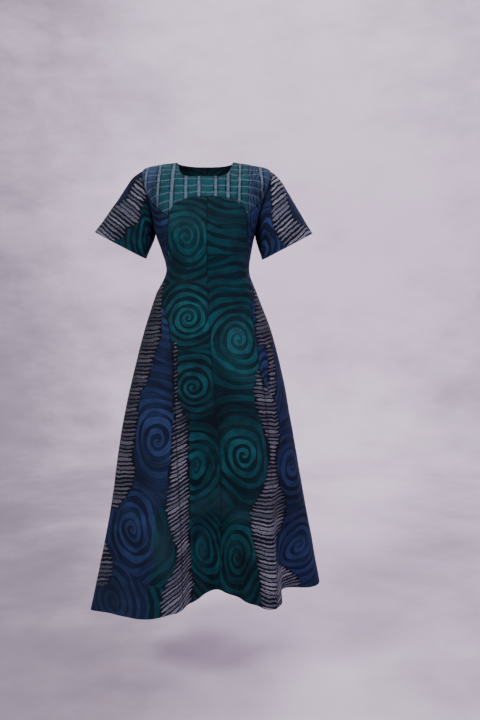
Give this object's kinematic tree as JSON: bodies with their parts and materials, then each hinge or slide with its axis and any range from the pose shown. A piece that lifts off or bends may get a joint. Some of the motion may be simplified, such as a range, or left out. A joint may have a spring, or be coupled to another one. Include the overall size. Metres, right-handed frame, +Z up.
{
  "type": "long a-line dress",
  "caption": "Long hollow A-line gown with a square neck, an arched front yoke, princess seams and short flared sleeves, in batik cloth.",
  "frame": {"origin": "middle of the neck opening, at the height of the shoulder seams' inner ends, where the wearer's neck and shoulders hold the gown", "axes": "+Z up along the wearer's body, +X to the right of someone who looks at the front, and the front faces -Y"},
  "size_m": [0.6798, 0.5162, 1.3044],
  "materials": {
    "plaid_batik": "matt printed cotton, teal with light and navy lines",
    "teal_batik": "matt printed cotton, teal with dark spirals and light ribs",
    "navy_batik": "matt printed cotton, navy with dark spirals and light ribs",
    "sleeve_batik": "matt printed cotton, navy and teal with light ribs"
  },
  "bodies": {
    "root": {"yoke_front": "plaid_batik", "centre_front_left": "teal_batik", "centre_front_right": "teal_batik", "side_front_left": "navy_batik", "side_front_right": "navy_batik", "back_left": "teal_batik", "back_right": "teal_batik", "sleeve_left": "sleeve_batik", "sleeve_right": "sleeve_batik"}
  },
  "joints": []
}
